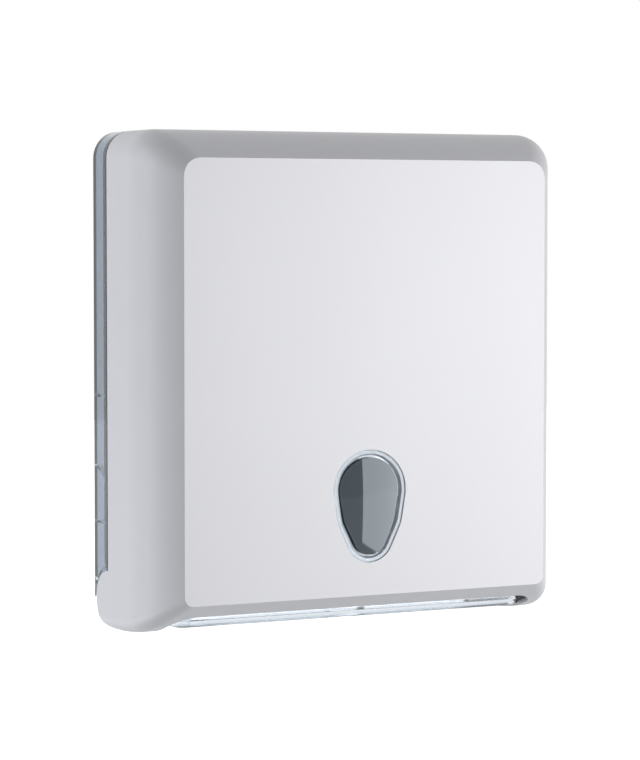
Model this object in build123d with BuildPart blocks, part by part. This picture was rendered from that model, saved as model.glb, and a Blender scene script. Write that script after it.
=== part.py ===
"""Interfold towel dispenser for a wall: clear shell and tray, hinged satin cover, smoked window, cam lock.

X runs across, the wall is the plane Y = 0 with the room at negative Y, and Z is up.
The origin is the centre of the four wall screws. All sizes are in millimetres.
"""
import os
from build123d import *

os.makedirs("parts", exist_ok=True)

# Main body
body_width = 273.0
body_height = 290.0
cover_depth = 92.0
screw_level = 145.0

# Cover form: straight sides, then a flank that curves in to the flat panel
rim_depth = 20.0
flat_depth = 52.0
panel_inset = 17.0
top_corner = 16.0
low_corner = 8.0
cover_wall = 2.5
bottom_rise = 2.4
top_hollow = 8.0
low_hollow = 4.0

# Hinge: round ears of the cover turn on pins in the shell's cheeks
pivot_height = 13.5
ear_radius = 17.5
cheek_width = 15.5
pin_radius = 3.0
pin_end_gap = 0.8
socket_radius = 6.0
socket_depth = 6.0
fit_gap = 0.05

# Cut-out in the cover's underside, for the tray
lip_reach = 10.5
cutout_corner = 14.0
cutout_height = 30.0

# Window
drop_centres = (-66.0, -79.0, -92.6)
drop_radii = (24.0, 21.9, 16.0)
window_gap = 0.15
lens_flange = 3.5
lens_flange_thick = 1.5
lens_rim = 4.7
lens_sink = 0.6
lens_dome = 2.4
lens_wall = 2.0
lens_bevel = 1.6
frame_rib = 1.6
frame_rib_height = 3.0

# Shell
shell_wall = 2.5
seam_gap = 1.0
ear_gap = 1.0
side_gap = 0.6
plate_wall = 2.4
plate_reach = 60.0
plate_height = 46.0
plate_nose = 12.0
plate_shoulder = 26.0
dust_lip = 5.0
dust_lip_wall = 1.8
dust_lip_gap = 0.5
dust_lip_root = 6.0
guide_levels = (-11.0, -86.0)
guide_thick = 1.4
guide_width = 8.0
stay_low = -61.0
stay_high = -51.0

# Wall screws
screw_pitch_x = 180.0
screw_pitch_z = 150.0
screw_hole_radius = 2.75
screw_pad_width = 18.0
screw_pad_height = 3.0

# Tray
tray_lift = 1.5
tray_wall = 2.0
tray_rise = 12.0
tray_front_gap = 8.5
tray_corner = 11.0
tray_round = 6.0
tray_hollow_edge = 3.0
slot_length = 184.0
slot_width = 30.0
slot_front_gap = 6.0
slot_rim = 2.0
slot_rim_height = 3.0
slot_rim_edge = 0.9
thumb_radius = 14.0
thumb_shift = 10.0
lug_depth = 46.0
lug_length = 10.0
lug_height = 3.0
lug_level = 4.0
lug_gap = 0.2

# Lock
lock_setback = 16.0
lock_radius = 8.0
lock_half_flat = 7.0
lock_length = 24.0
lock_flange_radius = 10.0
lock_flange_thick = 1.6
lock_bore_gap = 0.1
boss_radius = 14.5
boss_height = 6.0
washer_side = 21.0
washer_thick = 0.8
nut_flats = 20.0
nut_height = 4.0
plug_radius = 5.75
plug_head_radius = 7.0
plug_head_thick = 1.0
plug_run_gap = 0.2
keyway_length = 8.0
keyway_width = 1.8
keyway_depth = 6.0
tail_side = 6.4
tail_gap = 0.05
cam_thick = 2.5
cam_width = 9.0
cam_reach = 22.0
cam_hub_radius = 7.5
cam_screw_radius = 2.0
cam_screw_length = 10.0
cam_screw_flats = 7.0
cam_screw_head_thick = 2.2
keeper_gap = 1.0
keeper_width = 8.0
keeper_wall = 3.0
keeper_web = 24.0

# A little extra on cutting tools, so that no cut ends on a face
over = 1.0

# Levels and places that follow from the sizes
z_top = body_height - screw_level
z_floor = -screw_level
half_width = body_width / 2
pivot_z = z_floor + pivot_height
ear_bottom = pivot_z - ear_radius
shell_depth = rim_depth - seam_gap
cutout_half = half_width - cheek_width
plate_outer = cutout_half - side_gap
plate_inner = plate_outer - plate_wall
tray_floor = z_floor + tray_lift
lip_depth = cover_depth - lip_reach
tray_depth = lip_depth - tray_front_gap
slot_centre = tray_depth - slot_front_gap - slot_rim - thumb_radius - thumb_shift
panel_bottom = z_floor + panel_inset
panel_top = z_top - panel_inset
panel_half = half_width - panel_inset
lock_depth = rim_depth + lock_setback


def cover_plan(back, skin):
    """The cover seen from above, with its curved flanks, drawn in by a skin."""
    with BuildSketch(Plane.XY.offset(ear_bottom - over)) as plan:
        with BuildLine():
            left = Polyline((panel_half, -cover_depth), (-panel_half, -cover_depth))
            flank_left = TangentArc((-half_width, -flat_depth), left @ 1, tangent=(0, -1))
            side_left = Line(flank_left @ 0, (-half_width, -back))
            rear = Line(side_left @ 1, (half_width, -back))
            side_right = Line(rear @ 1, (half_width, -flat_depth))
            TangentArc(side_right @ 1, left @ 0, tangent=(0, -1))
        make_face()
        if skin > 0:
            offset(amount=-skin, kind=Kind.INTERSECTION, mode=Mode.REPLACE)
    return plan.sketch


def cover_side(skin):
    """The cover seen from the side: flat panel, curved top flank and an underside that rises to the panel."""
    back = rim_depth - cover_wall - 2 * over
    with BuildSketch(Plane.YZ.offset(-half_width - over)) as side:
        with BuildLine():
            panel = Line((-cover_depth, panel_bottom), (-cover_depth, panel_top))
            top_flank = TangentArc((-flat_depth, z_top), panel @ 1, tangent=(-1, 0))
            top = Line(top_flank @ 0, (-back, z_top))
            rear = Line(top @ 1, (-back, ear_bottom))
            level = Line(rear @ 1, (-rim_depth, ear_bottom))
            belly = TangentArc(level @ 1, (-flat_depth, ear_bottom + bottom_rise), tangent=(-1, 0))
            TangentArc(belly @ 1, panel @ 0, tangent=belly % 1)
        make_face()
        if skin > 0:
            offset(amount=-skin, kind=Kind.INTERSECTION, mode=Mode.REPLACE)
    return side.sketch


def cover_form(back, skin, ease, top_ease, low_ease):
    """The solid where the plan and the side view of the cover agree, with its two top and two low hips eased."""
    with BuildPart() as form:
        extrude(cover_plan(back, skin), amount=body_height + ear_radius + 2 * over)
        extrude(cover_side(skin), amount=body_width + 2 * over, mode=Mode.INTERSECT)
        for low, size in ((False, top_ease), (True, low_ease)):
            hips = form.edges().filter_by(lambda edge: abs(edge.center().X) > panel_half - skin + over)
            hips = hips.filter_by(lambda edge: abs(edge.tangent_at(0).Y) > abs(edge.tangent_at(0).Z))
            ease(hips.filter_by(lambda edge: (edge.center().Z < pivot_z) == low), size)
    return form.part


def ear_form(radius, inner, outer, corner):
    """The right ear: a half drum behind the rim, whose low outer corner is as round as the cover's."""
    with BuildPart() as ear:
        with BuildSketch(Plane.YZ.offset(inner)):
            with Locations((-rim_depth, pivot_z)):
                Circle(radius)
            with Locations((-rim_depth + radius / 2, pivot_z)):
                Rectangle(radius, 2 * radius, mode=Mode.INTERSECT)
        extrude(amount=outer - inner)
        with BuildSketch(Plane.XZ.offset(rim_depth)) as front:
            with Locations(((inner + outer) / 2, pivot_z)):
                Rectangle(outer - inner, 2 * radius)
            fillet(front.vertices().group_by(Axis.Y)[0].sort_by(Axis.X)[-1], corner)
        extrude(amount=-radius, mode=Mode.INTERSECT)
    return ear.part


def shell_outline(depth, skin, low):
    """The shell's outline with two round top corners, drawn in by a skin and cut off at a low level."""
    top = z_top - skin
    with BuildSketch(Plane.XZ.offset(depth)) as outline:
        with Locations((0, (top + low) / 2)):
            Rectangle(body_width - 2 * skin, top - low)
        fillet(outline.vertices().group_by(Axis.Y)[-1], top_corner - skin)
    return outline.sketch


def teardrop(depth, grow):
    """The window's outline, the hull of three circles, grown or drawn in."""
    with BuildSketch(Plane.XZ.offset(depth)) as drop:
        for level, radius in zip(drop_centres, drop_radii):
            with Locations((0, level)):
                Circle(radius + grow)
        make_hull()
    return drop.sketch


def lock_outline(level, gap):
    """The round lock body with two flats, which keep it from turning in its boss."""
    with BuildSketch(Plane.XY.offset(level)) as outline:
        with Locations((0, -lock_depth)):
            Circle(lock_radius + gap)
            Rectangle(2 * (lock_half_flat + gap), 3 * lock_radius, mode=Mode.INTERSECT)
    return outline.sketch


def tray_plan(level, skin):
    """The tray's plan with round front corners, drawn in by a skin."""
    front = tray_depth - skin
    back = shell_wall + skin
    with BuildSketch(Plane.XY.offset(level)) as plan:
        with Locations((0, -(front + back) / 2)):
            Rectangle(2 * (plate_inner - skin), front - back)
        fillet(plan.vertices().group_by(Axis.Y)[0], tray_corner - skin)
    return plan.sketch


def slot_plan(level, grow):
    """The towel slot, a long round-ended hole with a thumb bay in the middle of its front edge."""
    with BuildSketch(Plane.XY.offset(level)) as plan:
        with Locations((0, -slot_centre)):
            SlotOverall(slot_length + 2 * grow, slot_width + 2 * grow)
        with Locations((0, -slot_centre - thumb_shift)):
            Circle(thumb_radius + grow)
    return plan.sketch


# Front cover: one moulding with curved flanks, round hinge ears and a cut-out for the tray
with BuildPart() as front_cover:
    add(cover_form(rim_depth, 0, fillet, top_corner, low_corner))
    hollow_back = rim_depth - cover_wall - over
    add(cover_form(hollow_back, cover_wall, chamfer, top_hollow, low_hollow), mode=Mode.SUBTRACT)

    # The ears close the lower ends of the side walls, each with a half drum round the hinge
    add(ear_form(ear_radius, cutout_half, half_width, low_corner))
    ear_outer = half_width - cover_wall
    add(ear_form(ear_radius - cover_wall, cutout_half - over, ear_outer, low_hollow), mode=Mode.SUBTRACT)

    # Blind socket for the hinge pin on the inner face of the ear
    with BuildSketch(Plane.YZ.offset(half_width - cover_wall)) as socket:
        with Locations((-rim_depth, pivot_z)):
            Circle(socket_radius)
    extrude(amount=-socket_depth)
    with BuildSketch(Plane.YZ.offset(half_width - cover_wall - socket_depth)) as socket_bore:
        with Locations((-rim_depth, pivot_z)):
            Circle(pin_radius + fit_gap)
    extrude(amount=socket_depth - pin_end_gap / 2, mode=Mode.SUBTRACT)

    # Both sides are alike, so the finished right half is kept and mirrored
    split(bisect_by=Plane.YZ, keep=Keep.TOP)
    mirror(about=Plane.YZ)

    # Cut-out in the underside
    with BuildSketch(Plane.XY.offset(ear_bottom - over)) as cutout:
        with Locations((0, -(lip_depth - over) / 2)):
            Rectangle(2 * cutout_half, lip_depth + over)
        fillet(cutout.vertices().group_by(Axis.Y)[0], cutout_corner)
    extrude(amount=cutout_height, mode=Mode.SUBTRACT)

    # Window opening, with a rib round it that holds the lens flange
    rib_base = cover_depth - cover_wall
    with BuildSketch(Plane.XZ.offset(rib_base)):
        add(teardrop(rib_base, lens_flange + window_gap + frame_rib))
        add(teardrop(rib_base, lens_flange + window_gap), mode=Mode.SUBTRACT)
    extrude(amount=-frame_rib_height)
    extrude(teardrop(cover_depth + over, 0), amount=-(cover_wall + 2 * over), mode=Mode.SUBTRACT)

    # Boss for the lock under the top wall, with a sunk seat for the lock's flange
    with BuildSketch(Plane.XY.offset(z_top - boss_height)):
        with Locations((0, -lock_depth)):
            Circle(boss_radius)
    extrude(amount=boss_height)
    with BuildSketch(Plane.XY.offset(z_top - lock_flange_thick)):
        with Locations((0, -lock_depth)):
            Circle(lock_flange_radius + lock_bore_gap)
    extrude(amount=lock_flange_thick + over, mode=Mode.SUBTRACT)
    extrude(lock_outline(z_top - boss_height - over, lock_bore_gap), amount=boss_height, mode=Mode.SUBTRACT)

# Window lens: a smoked moulding pushed in from behind, with a sunk rim and a raised middle
with BuildPart() as window_lens:
    lens_back = cover_depth - cover_wall - lens_flange_thick
    rim_front = cover_depth - lens_sink
    extrude(teardrop(lens_back, lens_flange), amount=lens_flange_thick)
    extrude(teardrop(lens_back, -window_gap), amount=rim_front - lens_back)
    dome_front = rim_front + lens_dome
    loft([teardrop(rim_front, -lens_rim), teardrop(dome_front, -lens_rim - lens_bevel)], ruled=True)
    pocket_height = dome_front - lens_wall - lens_back
    extrude(teardrop(lens_back, -lens_rim - lens_wall), amount=pocket_height, mode=Mode.SUBTRACT)

# Back shell: wall plate and skirt in clear plastic, arched over the cover's ears
with BuildPart() as back_shell:
    extrude(shell_outline(0, 0, tray_floor), amount=shell_wall)
    extrude(shell_outline(0, 0, pivot_z), amount=shell_depth)
    extrude(shell_outline(shell_wall, shell_wall, pivot_z - over), amount=shell_depth, mode=Mode.SUBTRACT)

    # Room for the ears below the skirt
    arch_radius = ear_radius + ear_gap
    with BuildSketch(Plane.YZ.offset(plate_outer)):
        with Locations((-rim_depth, pivot_z)):
            Circle(arch_radius)
        with Locations((-rim_depth / 2, pivot_z - ear_radius / 2)):
            Rectangle(rim_depth + over, ear_radius + over)
    extrude(amount=cheek_width + side_gap + over, mode=Mode.SUBTRACT)

    # Arch that follows the ear, and the cheek plate that carries the hinge pin
    with BuildSketch(Plane.YZ.offset(plate_inner)):
        with Locations((-rim_depth, pivot_z)):
            Circle(arch_radius + shell_wall)
            Circle(arch_radius, mode=Mode.SUBTRACT)
        with Locations((-shell_depth / 2, pivot_z + arch_radius)):
            Rectangle(shell_depth, 2 * (arch_radius - ear_gap), mode=Mode.INTERSECT)
    extrude(amount=half_width - plate_inner)
    with BuildSketch(Plane.YZ.offset(plate_inner)):
        with BuildLine():
            Polyline(
                (0, tray_floor),
                (-plate_reach, tray_floor),
                (-plate_reach, tray_floor + plate_nose),
                (-plate_shoulder, tray_floor + plate_height),
                (0, tray_floor + plate_height),
                close=True,
            )
        make_face()
    extrude(amount=plate_wall)
    with BuildSketch(Plane.YZ.offset(plate_inner)):
        with Locations((-rim_depth, pivot_z)):
            Circle(socket_radius)
    extrude(amount=half_width - cover_wall - socket_depth - side_gap - plate_inner)
    with BuildSketch(Plane.YZ.offset(plate_inner - over)):
        with Locations((-rim_depth, pivot_z)):
            Circle(pin_radius)
    extrude(amount=cheek_width + over, mode=Mode.SUBTRACT)
    with BuildSketch(Plane.YZ.offset(plate_inner - over)):
        with Locations((-lug_depth, tray_floor + lug_level + lug_height / 2)):
            Rectangle(lug_length + 2 * lug_gap, lug_height + 2 * lug_gap)
    extrude(amount=plate_wall + 2 * over, mode=Mode.SUBTRACT)

    # Guide ribs for the towel stack on the inner face of the skirt
    for level in guide_levels:
        with BuildSketch(Plane.YZ.offset(half_width - shell_wall)):
            with Locations((-shell_depth / 2, level)):
                Rectangle(shell_depth, guide_thick)
        extrude(amount=-guide_width)
    with BuildSketch(Plane.YZ.offset(half_width - shell_wall)):
        with BuildLine():
            Polyline(
                (0, stay_high),
                (-shell_depth, stay_low),
                (-shell_depth, stay_low - guide_thick),
                (0, stay_high - guide_thick),
                close=True,
            )
        make_face()
    extrude(amount=-guide_width)
    split(bisect_by=Plane.YZ, keep=Keep.TOP)
    mirror(about=Plane.YZ)

    # Dust lip that reaches past the seam inside the cover, open over the lock
    lip_low = pivot_z + arch_radius + shell_wall
    lip_outer = shell_wall + dust_lip_gap
    lip_inner = lip_outer + dust_lip_wall
    with BuildSketch(Plane.XZ.offset(shell_depth - dust_lip_root)):
        add(shell_outline(shell_depth - dust_lip_root, shell_wall, lip_low))
        add(shell_outline(shell_depth - dust_lip_root, lip_inner, lip_low - over), mode=Mode.SUBTRACT)
    extrude(amount=dust_lip_root)
    with BuildSketch(Plane.XZ.offset(shell_depth)):
        add(shell_outline(shell_depth, lip_outer, lip_low))
        add(shell_outline(shell_depth, lip_inner, lip_low - over), mode=Mode.SUBTRACT)
        with Locations((0, z_top)):
            Rectangle(2 * (boss_radius + keeper_wall), 4 * lip_inner, mode=Mode.SUBTRACT)
    extrude(amount=dust_lip)

    # Pads and holes for the wall screws
    with Locations(Plane.XZ.offset(shell_wall)):
        with GridLocations(screw_pitch_x, screw_pitch_z, 2, 2):
            Box(
                screw_pad_width,
                screw_pad_width,
                screw_pad_height,
                align=(Align.CENTER, Align.CENTER, Align.MIN),
            )
    with Locations(Plane.XZ.offset(shell_wall + screw_pad_height)):
        with GridLocations(screw_pitch_x, screw_pitch_z, 2, 2):
            Hole(screw_hole_radius)

    # Keeper hook, which the lock's cam turns in behind
    cam_top = z_top - lock_length - plug_run_gap
    keeper_top = cam_top - cam_thick - keeper_gap
    keeper_front = lock_depth + cam_width / 2 + keeper_gap + keeper_wall
    keeper_side = cam_reach - keeper_gap - keeper_width
    with BuildSketch(Plane.YZ.offset(keeper_side)):
        with BuildLine():
            Polyline(
                (0, keeper_top),
                (keeper_wall - keeper_front, keeper_top),
                (keeper_wall - keeper_front, cam_top + keeper_gap),
                (-keeper_front, cam_top + keeper_gap),
                (-keeper_front, keeper_top - keeper_wall),
                (0, keeper_top - keeper_wall),
                close=True,
            )
        make_face()
    extrude(amount=keeper_width)
    with BuildSketch(Plane.YZ.offset(keeper_side + (keeper_width - keeper_wall) / 2)):
        with BuildLine():
            Polyline(
                (0, keeper_top - keeper_wall),
                (-keeper_front, keeper_top - keeper_wall),
                (0, keeper_top - keeper_wall - keeper_web),
                close=True,
            )
        make_face()
    extrude(amount=keeper_wall)

# Dispensing tray: a shallow clear tray that clips between the cheek plates and carries the stack
with BuildPart() as dispensing_tray:
    extrude(tray_plan(tray_floor, 0), amount=tray_rise)
    base = faces().sort_by(Axis.Z)[0].edges()
    fillet(base - base.sort_by(Axis.Y)[-1:], tray_round)
    with BuildPart(mode=Mode.PRIVATE) as tray_hollow:
        extrude(tray_plan(tray_floor + tray_wall, tray_wall), amount=tray_rise)
        hollow_base = faces().sort_by(Axis.Z)[0].edges()
        chamfer(hollow_base - hollow_base.sort_by(Axis.Y)[-1:], tray_hollow_edge)
    add(tray_hollow.part, mode=Mode.SUBTRACT)

    # Towel slot with a rounded rim
    extrude(slot_plan(tray_floor, slot_rim), amount=tray_wall + slot_rim_height)
    chamfer(faces().filter_by(Plane.XY).group_by(Axis.Z)[-2].edges(), slot_rim_edge)
    extrude(slot_plan(tray_floor - over, 0), amount=tray_rise + 2 * over, mode=Mode.SUBTRACT)

    # Clip lugs at the sides
    for side in (-1, 1):
        with BuildSketch(Plane.YZ.offset(side * plate_inner)):
            with Locations((-lug_depth, tray_floor + lug_level + lug_height / 2)):
                Rectangle(lug_length, lug_height)
        extrude(amount=side * (plate_wall - lug_gap))


def hinge_pin(side):
    """A dowel pin from the inner face of a cheek plate out into the ear's socket."""
    with BuildPart() as pin:
        with BuildSketch(Plane.YZ.offset(side * plate_inner)):
            with Locations((-rim_depth, pivot_z)):
                Circle(pin_radius)
        extrude(amount=side * (half_width - cover_wall - pin_end_gap - plate_inner))
    return pin.part


# Lock housing: flanged body with two flats, bored for the plug
with BuildPart() as lock_housing:
    with BuildSketch(Plane.XY.offset(z_top - lock_flange_thick)):
        with Locations((0, -lock_depth)):
            Circle(lock_flange_radius)
    extrude(amount=lock_flange_thick)
    extrude(lock_outline(z_top - lock_length, 0), amount=lock_length)
    with BuildSketch(Plane.XY.offset(z_top - lock_length - over)):
        with Locations((0, -lock_depth)):
            Circle(plug_radius + fit_gap)
    extrude(amount=lock_length + 2 * over, mode=Mode.SUBTRACT)
    with BuildSketch(Plane.XY.offset(z_top - plug_head_thick)):
        with Locations((0, -lock_depth)):
            Circle(plug_head_radius + fit_gap)
    extrude(amount=plug_head_thick + over, mode=Mode.SUBTRACT)

# Square stop washer and nut that clamp the housing from inside
washer_level = z_top - boss_height - washer_thick
with BuildPart() as lock_washer:
    with BuildSketch(Plane.XY.offset(washer_level)):
        with Locations((0, -lock_depth)):
            Rectangle(washer_side, washer_side)
        add(lock_outline(washer_level, lock_bore_gap), mode=Mode.SUBTRACT)
    extrude(amount=washer_thick)
with BuildPart() as lock_nut:
    with BuildSketch(Plane.XY.offset(washer_level - nut_height)):
        with Locations((0, -lock_depth)):
            RegularPolygon(nut_flats / 2, 6, major_radius=False)
            Circle(lock_radius + fit_gap, mode=Mode.SUBTRACT)
    extrude(amount=nut_height)

# Lock plug: turns in the housing, with a keyway on top and a square tail for the cam
tail_top = z_top - lock_length - plug_run_gap
with BuildPart() as lock_plug:
    with BuildSketch(Plane.XY.offset(z_top - plug_head_thick)):
        with Locations((0, -lock_depth)):
            Circle(plug_head_radius)
    extrude(amount=plug_head_thick)
    with BuildSketch(Plane.XY.offset(tail_top)):
        with Locations((0, -lock_depth)):
            Circle(plug_radius)
    extrude(amount=lock_length + plug_run_gap - plug_head_thick)
    with BuildSketch(Plane.XY.offset(tail_top - cam_thick)):
        with Locations((0, -lock_depth)):
            Rectangle(tail_side, tail_side)
    extrude(amount=cam_thick)
    with BuildSketch(Plane.XY.offset(z_top - keyway_depth)):
        with Locations((0, -lock_depth)):
            Rectangle(keyway_width, keyway_length)
    extrude(amount=keyway_depth + over, mode=Mode.SUBTRACT)
    with BuildSketch(Plane.XY.offset(tail_top - cam_thick - over)):
        with Locations((0, -lock_depth)):
            Circle(cam_screw_radius + fit_gap)
    extrude(amount=cam_screw_length + 2 * over, mode=Mode.SUBTRACT)

# Cam: a flat arm on the plug's tail, pointing to the wall while the lock is open
with BuildPart() as lock_cam:
    with BuildSketch(Plane.XY.offset(tail_top - cam_thick)) as cam:
        with Locations((0, -lock_depth)):
            Circle(cam_hub_radius)
        with Locations((0, -lock_depth + cam_reach / 2)):
            Rectangle(cam_width, cam_reach)
        fillet(cam.vertices().group_by(Axis.Y)[-1], cam_width / 4)
        with Locations((0, -lock_depth)):
            Rectangle(tail_side + 2 * tail_gap, tail_side + 2 * tail_gap, mode=Mode.SUBTRACT)
    extrude(amount=cam_thick)

# Screw that holds the cam on the plug
with BuildPart() as cam_screw:
    with BuildSketch(Plane.XY.offset(tail_top - cam_thick - cam_screw_head_thick)):
        with Locations((0, -lock_depth)):
            RegularPolygon(cam_screw_flats / 2, 6, major_radius=False)
    extrude(amount=cam_screw_head_thick)
    with BuildSketch(Plane.XY.offset(tail_top - cam_thick)):
        with Locations((0, -lock_depth)):
            Circle(cam_screw_radius)
    extrude(amount=cam_screw_length)

pieces = {
    "back_shell": back_shell.part,
    "dispensing_tray": dispensing_tray.part,
    "front_cover": front_cover.part,
    "window_lens": window_lens.part,
    "hinge_pin_left": hinge_pin(-1),
    "hinge_pin_right": hinge_pin(1),
    "lock_housing": lock_housing.part,
    "lock_washer": lock_washer.part,
    "lock_nut": lock_nut.part,
    "lock_plug": lock_plug.part,
    "lock_cam": lock_cam.part,
    "cam_screw": cam_screw.part,
}
for name, piece in pieces.items():
    piece.label = name
    export_step(piece, f"parts/{name}.step")
    print(name, round(piece.volume / 1000, 2), "cm3", len(piece.solids()), "solid")
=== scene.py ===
import math
import bpy
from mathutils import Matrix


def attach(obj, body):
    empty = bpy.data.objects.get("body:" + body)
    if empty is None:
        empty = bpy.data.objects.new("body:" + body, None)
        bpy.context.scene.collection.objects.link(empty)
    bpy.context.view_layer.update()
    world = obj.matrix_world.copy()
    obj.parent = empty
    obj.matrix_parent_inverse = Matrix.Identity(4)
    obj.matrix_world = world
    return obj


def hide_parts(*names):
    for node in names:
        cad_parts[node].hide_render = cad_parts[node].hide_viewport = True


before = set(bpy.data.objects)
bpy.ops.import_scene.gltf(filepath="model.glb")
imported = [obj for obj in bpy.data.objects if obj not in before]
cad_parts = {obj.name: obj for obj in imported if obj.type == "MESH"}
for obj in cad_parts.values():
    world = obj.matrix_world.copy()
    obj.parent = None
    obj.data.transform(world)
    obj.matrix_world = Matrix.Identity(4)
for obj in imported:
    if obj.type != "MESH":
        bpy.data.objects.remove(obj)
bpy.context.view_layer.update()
bpy.ops.object.select_all(action="DESELECT")

# Camera
# The photograph is taken from the left, a little below the top of the dispenser, with a long lens.
# Its place, turn and lens come from the fit of the dispenser's corners and edges.
camera_place = (-0.7916, -1.5677, 0.0903)
camera_turn = 0.4748
camera_dip = 0.0545
camera_focus_pixels = 2858.5
camera_reach = 50
photo_long_side = 760
sensor_width = 36
camera_data = bpy.data.cameras.new("camera")
camera_data.sensor_width = sensor_width
camera_data.lens = camera_focus_pixels * sensor_width / photo_long_side
camera_data.clip_end = camera_reach
camera = bpy.data.objects.new("camera", camera_data)
bpy.context.scene.collection.objects.link(camera)
camera.location = camera_place
camera.rotation_euler = (math.pi / 2 - camera_dip, 0, -camera_turn)
bpy.context.scene.camera = camera
bpy.context.scene.view_settings.view_transform = "Standard"

# Studio
# White surroundings as in a catalogue picture, which the camera, gloss and clear plastic see. They
# give the dispenser only a weak, cool light, so that the lamps shape it.
studio_tint = (0.93, 0.96, 1.0, 1)
studio_light = 0.22


def seen_rays(tree):
    """One for the rays that show the surroundings: camera, gloss and clear plastic."""
    path = tree.nodes.new("ShaderNodeLightPath")
    seen = path.outputs["Is Camera Ray"]
    for ray in ("Is Transmission Ray", "Is Glossy Ray"):
        either = tree.nodes.new("ShaderNodeMath")
        either.operation = "MAXIMUM"
        tree.links.new(seen, either.inputs[0])
        tree.links.new(path.outputs[ray], either.inputs[1])
        seen = either.outputs[0]
    return seen


world = bpy.data.worlds.new("studio")
bpy.context.scene.world = world
world.use_nodes = True
tree = world.node_tree
tree.nodes.clear()
ambient = tree.nodes.new("ShaderNodeBackground")
ambient.inputs["Color"].default_value = studio_tint
ambient.inputs["Strength"].default_value = studio_light
white = tree.nodes.new("ShaderNodeBackground")
white.inputs["Color"].default_value = (1, 1, 1, 1)
white.inputs["Strength"].default_value = 1
mix = tree.nodes.new("ShaderNodeMixShader")
out = tree.nodes.new("ShaderNodeOutputWorld")
tree.links.new(seen_rays(tree), mix.inputs[0])
tree.links.new(ambient.outputs[0], mix.inputs[1])
tree.links.new(white.outputs[0], mix.inputs[2])
tree.links.new(mix.outputs[0], out.inputs["Surface"])

# Floor
# Pale matt paper that runs out to the backdrop. It takes the shadow below the dispenser and turns
# as white as the backdrop farther out, so that no line shows where they meet.
floor_level = -0.62
floor_size = 16
floor_colour = (0.80, 0.80, 0.80, 1)
shadow_reach = 0.7
white_reach = 1.7
shadow_lift = 0.45
bpy.ops.mesh.primitive_plane_add(size=floor_size, location=(0, 0, floor_level))
floor = bpy.context.object
floor.name = "floor"
bpy.ops.object.transform_apply(location=True)
floor_paint = bpy.data.materials.new("floor_paint")
floor_paint.use_nodes = True
tree = floor_paint.node_tree
paint = tree.nodes["Principled BSDF"]
paint.inputs["Base Color"].default_value = floor_colour
paint.inputs["Roughness"].default_value = 0.9
paint.inputs["Emission Color"].default_value = (1, 1, 1, 1)
place = tree.nodes.new("ShaderNodeTexCoord")
flat = tree.nodes.new("ShaderNodeVectorMath")
flat.operation = "MULTIPLY"
flat.inputs[1].default_value = (1, 1, 0)
tree.links.new(place.outputs["Object"], flat.inputs[0])
away = tree.nodes.new("ShaderNodeVectorMath")
away.operation = "LENGTH"
tree.links.new(flat.outputs[0], away.inputs[0])
fade = tree.nodes.new("ShaderNodeMapRange")
fade.inputs["From Min"].default_value = shadow_reach
fade.inputs["From Max"].default_value = white_reach
fade.inputs["To Min"].default_value = shadow_lift
fade.inputs["To Max"].default_value = 1
tree.links.new(away.outputs["Value"], fade.inputs["Value"])
lift = tree.nodes.new("ShaderNodeMath")
lift.operation = "MULTIPLY"
tree.links.new(seen_rays(tree), lift.inputs[0])
tree.links.new(fade.outputs["Result"], lift.inputs[1])
tree.links.new(lift.outputs[0], paint.inputs["Emission Strength"])
floor.data.materials.append(floor_paint)

# Lamps
# A large soft box stands at the front right and shows in the gloss of the window. A second one at
# the left and a weak one above stand behind the wall line, so that the flanks darken to the panel.


def soft_box(name, place, width, height, power, tint, in_gloss):
    """A rectangular lamp that faces the dispenser, and shows in its gloss or only lights it."""
    data = bpy.data.lights.new(name, "AREA")
    data.shape = "RECTANGLE"
    data.size = width
    data.size_y = height
    data.energy = power
    data.color = tint
    lamp = bpy.data.objects.new(name, data)
    bpy.context.scene.collection.objects.link(lamp)
    lamp.location = place
    lamp.rotation_euler = lamp.location.to_track_quat("Z", "Y").to_euler()
    lamp.visible_glossy = in_gloss


soft_box(
    "right_box", place=(1.02, -1.10, 0.04), width=1.55, height=1.0, power=18.5,
    tint=(1.0, 0.998, 0.99), in_gloss=True,
)
soft_box(
    "left_box", place=(-1.48, 0.60, 0.15), width=0.9, height=1.5, power=23,
    tint=(0.97, 0.985, 1.0), in_gloss=False,
)
soft_box(
    "top_box", place=(0.15, 0.50, 1.50), width=1.2, height=0.7, power=3,
    tint=(1, 1, 1), in_gloss=False,
)

# Front cover
# One ABS moulding with a satin silver finish, hung on its ears by the hinge pins. The flat panel,
# the curved flank and the ears are one skin, so one fine grain runs over them all.

# The grain is a slow drift of tone, as thick and thin walls leave it, and a fine spark-eroded
# roughness for a bump.
drift_scale = 9
noise_middle = 0.5
grain = bpy.data.node_groups.new("moulded_grain", "ShaderNodeTree")
grain.interface.new_socket("Place", in_out="INPUT", socket_type="NodeSocketVector")
grain.interface.new_socket("Grain Scale", in_out="INPUT", socket_type="NodeSocketFloat")
grain.interface.new_socket("Drift", in_out="INPUT", socket_type="NodeSocketFloat")
grain.interface.new_socket("Tone", in_out="OUTPUT", socket_type="NodeSocketFloat")
grain.interface.new_socket("Height", in_out="OUTPUT", socket_type="NodeSocketFloat")
enter = grain.nodes.new("NodeGroupInput")
leave = grain.nodes.new("NodeGroupOutput")
fine = grain.nodes.new("ShaderNodeTexNoise")
fine.inputs["Detail"].default_value = 3
fine.inputs["Roughness"].default_value = 0.6
grain.links.new(enter.outputs["Place"], fine.inputs["Vector"])
grain.links.new(enter.outputs["Grain Scale"], fine.inputs["Scale"])
slow = grain.nodes.new("ShaderNodeTexNoise")
slow.inputs["Scale"].default_value = drift_scale
slow.inputs["Detail"].default_value = 2
grain.links.new(enter.outputs["Place"], slow.inputs["Vector"])
centred = grain.nodes.new("ShaderNodeMath")
centred.operation = "SUBTRACT"
centred.inputs[1].default_value = noise_middle
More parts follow.
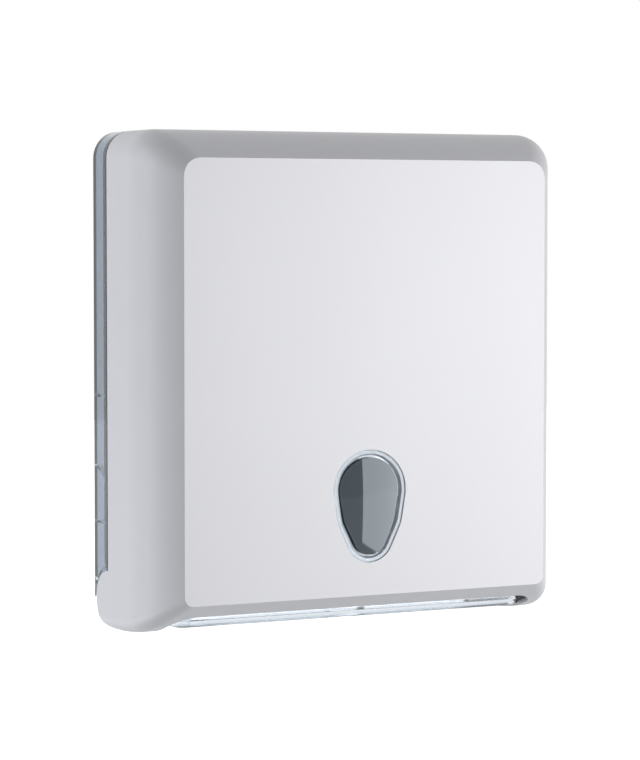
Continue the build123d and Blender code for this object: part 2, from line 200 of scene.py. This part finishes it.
grain.links.new(slow.outputs["Fac"], centred.inputs[0])
tone = grain.nodes.new("ShaderNodeMath")
tone.operation = "MULTIPLY_ADD"
tone.inputs[2].default_value = 1
grain.links.new(centred.outputs[0], tone.inputs[0])
grain.links.new(enter.outputs["Drift"], tone.inputs[1])
grain.links.new(tone.outputs[0], leave.inputs["Tone"])
grain.links.new(fine.outputs["Fac"], leave.inputs["Height"])


def moulded_finish(name, colour, grain_scale, drift, bump, bump_depth):
    """A material in one colour, with the moulded grain in its tone and in its bump."""
    material = bpy.data.materials.new(name)
    material.use_nodes = True
    tree = material.node_tree
    shader = tree.nodes["Principled BSDF"]
    place = tree.nodes.new("ShaderNodeTexCoord")
    surface = tree.nodes.new("ShaderNodeGroup")
    surface.name = "surface"
    surface.node_tree = grain
    surface.inputs["Grain Scale"].default_value = grain_scale
    surface.inputs["Drift"].default_value = drift
    tree.links.new(place.outputs["Object"], surface.inputs["Place"])
    tinted = tree.nodes.new("ShaderNodeVectorMath")
    tinted.name = "tinted"
    tinted.operation = "SCALE"
    tinted.inputs[0].default_value = colour
    tree.links.new(surface.outputs["Tone"], tinted.inputs["Scale"])
    tree.links.new(tinted.outputs[0], shader.inputs["Base Color"])
    raised = tree.nodes.new("ShaderNodeBump")
    raised.inputs["Strength"].default_value = bump
    raised.inputs["Distance"].default_value = bump_depth
    tree.links.new(surface.outputs["Height"], raised.inputs["Height"])
    tree.links.new(raised.outputs[0], shader.inputs["Normal"])
    return material


def set_shader(material, values):
    """Sets the plain values on a material's shader."""
    shader = material.node_tree.nodes["Principled BSDF"]
    for socket, value in values.items():
        shader.inputs[socket].default_value = value


def dress(node, material):
    """Puts one material in every slot of a CAD node."""
    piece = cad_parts[node]
    if not piece.material_slots:
        piece.data.materials.append(material)
    for slot in piece.material_slots:
        slot.material = material


satin_silver = moulded_finish(
    "satin_silver", colour=(0.50, 0.50, 0.525),
    grain_scale=3200, drift=0.05, bump=0.25, bump_depth=0.00004,
)
set_shader(satin_silver, {
    "Roughness": 0.42,
    "Metallic": 0.22,
    "Coat Weight": 0.15,
    "Coat Roughness": 0.3,
})
dress("front_cover", satin_silver)

# Window
# A smoked styrene moulding, polished, pushed into the cover from behind against its flange. A flat
# clear rim runs round a narrow groove, and the middle stands up as a bulge that curves sideways.
drop_centres = (-0.0660, -0.0790, -0.0926)
drop_radii = (0.0240, 0.0219, 0.0160)
drop_points = 160
outline_steps = 6 * drop_points
flange_width = 0.0035
flange_back = 0.0880
flange_thick = 0.0015
opening_gap = 0.00015
rim_wall = 0.0013
rim_width = 0.0044
pocket_inset = 0.0067
bulge_front = 0.0938
bulge_wall = 0.0020
bulge_middle = -0.0745
bulge_curve_across = 0.055
bulge_curve_along = 0.36
bulge_rings = (0.93, 0.82, 0.68, 0.52, 0.36, 0.2, 0.07)
smooth_angle = 28
# Each step of the rim's profile, as its way in and its way forward: eased edge, flat rim, eased
# edge, slope into the groove, groove, and the foot of the bulge.
rim_profile = (
    (0.00035, 0.0006),
    (0.0019, 0),
    (0.0004, -0.0003),
    (0.0009, -0.0017),
    (0.0005, 0),
    (0.00045, 0.0010),
)


def drop_outline():
    """Evenly spaced points of the flange's outline, the hull of three circles."""
    dense = []
    for step in range(outline_steps):
        turn = 2 * math.pi * step / outline_steps
        across, up = math.cos(turn), math.sin(turn)
        _, level, radius = max((z * up + r, z, r) for z, r in zip(drop_centres, drop_radii))
        dense.append(((radius + flange_width) * across, level + (radius + flange_width) * up))
    runs = list(zip(dense, dense[1:] + dense[:1]))
    pitch = sum(math.dist(start, end) for start, end in runs) / drop_points
    points = []
    walked = 0
    for start, end in runs:
        length = math.dist(start, end)
        while len(points) < drop_points and walked + length > pitch * len(points):
            part = (pitch * len(points) - walked) / length
            across = start[0] + (end[0] - start[0]) * part
            level = start[1] + (end[1] - start[1]) * part
            points.append((across, level))
        walked += length
    return points


def bulge_depth(across, level, skin):
    """How far the bulge's face, or its inside a skin deeper, stands out from the wall."""
    fall_across = across ** 2 / (2 * bulge_curve_across)
    fall_along = (level - bulge_middle) ** 2 / (2 * bulge_curve_along)
    return bulge_front - skin - fall_across - fall_along


def step_in(inset, forward):
    """Insets the selected face and moves it towards the room."""
    bpy.ops.mesh.inset(thickness=inset, depth=0)
    bpy.ops.transform.translate(value=(0, -forward, 0))


def raise_face(forward):
    """Extrudes the selected face towards the room."""
    bpy.ops.mesh.extrude_region()
    bpy.ops.transform.translate(value=(0, -forward, 0))


def curve_selected(piece, skin):
    """Lays the selected points on the bulge's face."""
    bpy.ops.object.mode_set(mode="OBJECT")
    for vertex in piece.data.vertices:
        if vertex.select:
            vertex.co.y = -bulge_depth(vertex.co.x, vertex.co.z, skin)
    bpy.ops.object.mode_set(mode="EDIT")


def ring_in(piece, skin):
    """Closes the selected face with rings that follow the bulge's face."""
    curve_selected(piece, skin)
    last = 1.0
    for size in bulge_rings:
        bpy.ops.mesh.extrude_region()
        share = size / last
        bpy.ops.transform.resize(value=(share, 1, share), center_override=(0, 0, bulge_middle))
        curve_selected(piece, skin)
        last = size


bpy.ops.mesh.primitive_circle_add(vertices=drop_points, radius=1, fill_type="NGON")
window = bpy.context.object
window.name = "window_glass"
for vertex, (across, level) in zip(window.data.vertices, drop_outline()):
    vertex.co = (across, -flange_back, level)
window.data.update()
bpy.ops.object.mode_set(mode="EDIT")
bpy.ops.mesh.select_mode(type="FACE")
bpy.ops.mesh.select_all(action="SELECT")
raise_face(flange_thick)
step_in(flange_width + opening_gap, 0)
raise_face(rim_wall)
for inset, forward in rim_profile:
    step_in(inset, forward)
ring_in(window, 0)

# The back of the flange is still one face, from which the pocket behind the bulge goes in
bpy.ops.mesh.select_all(action="DESELECT")
bpy.ops.object.mode_set(mode="OBJECT")
flange_middle = -flange_back - flange_thick / 2
for face in window.data.polygons:
    face.select = len(face.vertices) == drop_points and face.center.y > flange_middle
bpy.ops.object.mode_set(mode="EDIT")
step_in(flange_width + pocket_inset, 0)
ring_in(window, bulge_wall)
bpy.ops.mesh.select_all(action="SELECT")
bpy.ops.mesh.normals_make_consistent(inside=False)
bpy.ops.object.mode_set(mode="OBJECT")
bpy.ops.object.shade_smooth_by_angle(angle=math.radians(smooth_angle))

# The middle is smoked, and the rim and the flange are clear
lens_smoke = moulded_finish(
    "lens_smoke", colour=(0.03, 0.042, 0.052),
    grain_scale=80, drift=0.08, bump=0.05, bump_depth=0.0001,
)
set_shader(lens_smoke, {
    "Roughness": 0.04,
    "IOR": 1.65,
    "Specular Tint": (0.84, 0.92, 1.0, 1),
    "Transmission Weight": 0.1,
})
lens_rim = moulded_finish(
    "lens_rim", colour=(0.74, 0.79, 0.84),
    grain_scale=80, drift=0.08, bump=0.05, bump_depth=0.0001,
)
set_shader(lens_rim, {"Roughness": 0.04, "IOR": 1.6, "Transmission Weight": 0.75})
window.data.materials.append(lens_smoke)
window.data.materials.append(lens_rim)
fill_steps = 24
drops = list(zip(drop_centres, drop_radii))
fill = [
    (low + (high - low) * step / fill_steps, small + (large - small) * step / fill_steps)
    for (high, large), (low, small) in zip(drops, drops[1:])
    for step in range(fill_steps + 1)
]
for face in window.data.polygons:
    across, level = face.center.x, face.center.z
    inner = max(radius - rim_width - math.hypot(across, level - middle) for middle, radius in fill)
    face.material_index = 0 if inner > 0 else 1
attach(window, "cover")
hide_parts("window_lens")

# Back shell
# One clear smoked moulding with polished faces, screwed to the wall: the wall plate and the skirt
# behind the cover. Its grey is in the plastic. A painted shade darkens the skirt's front edge
# nearly to black, where the seam under the cover lies in shade.
# Painted shade along the skirt's front edge: where it lies, how wide it is, how it fades and how
# dark it is
skirt_edge = -0.0190
edge_width = 0.0020
edge_fade = 0.0015
painted_shade_tone = 0.02
smoked_clear_painted_edge = moulded_finish(
    "smoked_clear_painted_edge", colour=(0.41, 0.47, 0.54),
    grain_scale=60, drift=0.08, bump=0.15, bump_depth=0.0002,
)
set_shader(smoked_clear_painted_edge, {"Roughness": 0.04, "IOR": 1.57, "Transmission Weight": 1})
tree = smoked_clear_painted_edge.node_tree
place = tree.nodes.new("ShaderNodeTexCoord")
spread = tree.nodes.new("ShaderNodeSeparateXYZ")
tree.links.new(place.outputs["Object"], spread.inputs[0])
# Painted shade: a band along the skirt's front edge is darkened nearly to black, for the shade in
# the seam
edge = tree.nodes.new("ShaderNodeMapRange")
edge.interpolation_type = "SMOOTHSTEP"
edge.inputs["From Min"].default_value = skirt_edge + edge_width
edge.inputs["From Max"].default_value = skirt_edge + edge_width + edge_fade
edge.inputs["To Min"].default_value = painted_shade_tone
edge.inputs["To Max"].default_value = 1
tree.links.new(spread.outputs["Y"], edge.inputs["Value"])
farther_in = tree.nodes.new("ShaderNodeMath")
farther_in.operation = "LESS_THAN"
farther_in.inputs[1].default_value = skirt_edge - edge_width
tree.links.new(spread.outputs["Y"], farther_in.inputs[0])
painted_shade_mask = tree.nodes.new("ShaderNodeMath")
painted_shade_mask.operation = "MAXIMUM"
tree.links.new(edge.outputs["Result"], painted_shade_mask.inputs[0])
tree.links.new(farther_in.outputs[0], painted_shade_mask.inputs[1])
edge_painted_shade = tree.nodes.new("ShaderNodeMath")
edge_painted_shade.operation = "MULTIPLY"
tree.links.new(tree.nodes["surface"].outputs["Tone"], edge_painted_shade.inputs[0])
tree.links.new(painted_shade_mask.outputs[0], edge_painted_shade.inputs[1])
tree.links.new(edge_painted_shade.outputs[0], tree.nodes["tinted"].inputs["Scale"])
dress("back_shell", smoked_clear_painted_edge)

# Dispensing tray
# A shallow tray in nearly colourless clear plastic, moulded in one and clipped between the shell's
# cheeks. Its back touches the shell, so its skin is drawn in by a hair to keep the two apart.
tray_clearance = 0.00003
same_point = 0.000001
tray_clear = moulded_finish(
    "tray_clear", colour=(0.80, 0.84, 0.88),
    grain_scale=70, drift=0.05, bump=0.15, bump_depth=0.0002,
)
set_shader(tray_clear, {"Roughness": 0.06, "IOR": 1.57, "Transmission Weight": 1})
dress("dispensing_tray", tray_clear)
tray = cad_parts["dispensing_tray"]
joined = tray.modifiers.new("joined", "WELD")
joined.merge_threshold = same_point
clearance = tray.modifiers.new("clearance", "DISPLACE")
clearance.mid_level = 0
clearance.strength = -tray_clearance

# Hinge pins
# Two plain dowels in natural white acetal, with a slightly waxy look. They are pressed into the
# shell's cheeks, and the cover's ears turn on them.
acetal_white = moulded_finish(
    "acetal_white", colour=(0.78, 0.78, 0.74),
    grain_scale=1500, drift=0.06, bump=0.2, bump_depth=0.00005,
)
set_shader(acetal_white, {"Roughness": 0.38, "Subsurface Weight": 0.1})
for name in ("hinge_pin_left", "hinge_pin_right"):
    dress(name, acetal_white)

# Lock
# A cast zinc housing and plug with a nickel plating, which a plated nut and stop washer clamp in
# the cover's top wall. The plating is bright, with a faint unevenness from polishing.
nickel_plate = moulded_finish(
    "nickel_plate", colour=(0.66, 0.64, 0.61),
    grain_scale=900, drift=0.1, bump=0.15, bump_depth=0.00005,
)
set_shader(nickel_plate, {"Roughness": 0.22, "Metallic": 1})
for name in ("lock_housing", "lock_washer", "lock_nut", "lock_plug"):
    dress(name, nickel_plate)

# Cam and its screw
# A flat arm stamped from steel sheet, held on the plug's square tail by a hexagon screw. Both have
# a bright zinc coat, duller than the nickel.
zinc_plate = moulded_finish(
    "zinc_plate", colour=(0.60, 0.60, 0.57),
    grain_scale=400, drift=0.2, bump=0.3, bump_depth=0.0001,
)
set_shader(zinc_plate, {"Roughness": 0.36, "Metallic": 1})
for name in ("lock_cam", "cam_screw"):
    dress(name, zinc_plate)
